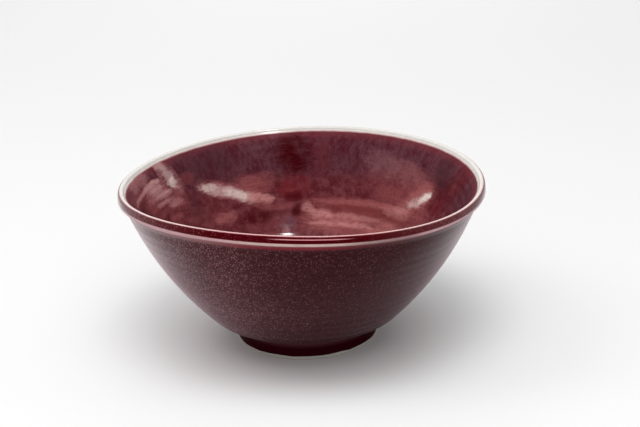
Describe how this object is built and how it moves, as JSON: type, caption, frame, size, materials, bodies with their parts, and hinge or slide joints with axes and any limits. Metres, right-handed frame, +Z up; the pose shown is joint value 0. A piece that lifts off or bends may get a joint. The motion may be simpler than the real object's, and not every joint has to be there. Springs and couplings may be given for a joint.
{
  "type": "bowl",
  "caption": "Wheel-thrown footed bowl with a flared, ridged lip, a deep rounded hollow and a turned foot ring, in white clay under a speckled dark red glaze that runs pale on the lip.",
  "frame": {"origin": "centre of the foot ring's bearing edge, on the surface that the bowl stands on", "axes": "+Z up along the bowl's axis of revolution, +X and +Y level"},
  "size_m": [0.15, 0.15, 0.0688],
  "materials": {
    "white_clay": "bare, vitrified, smooth matt",
    "red_glaze": "glossy, speckled dark red",
    "pale_glaze": "glossy, thin and nearly clear over white clay"
  },
  "bodies": {
    "root": {"bowl_body": "white_clay", "foot_ring": "white_clay", "outer_glaze": "red_glaze", "inner_glaze": "red_glaze", "lip_glaze": "pale_glaze", "foot_well_glaze": "red_glaze"}
  },
  "joints": []
}
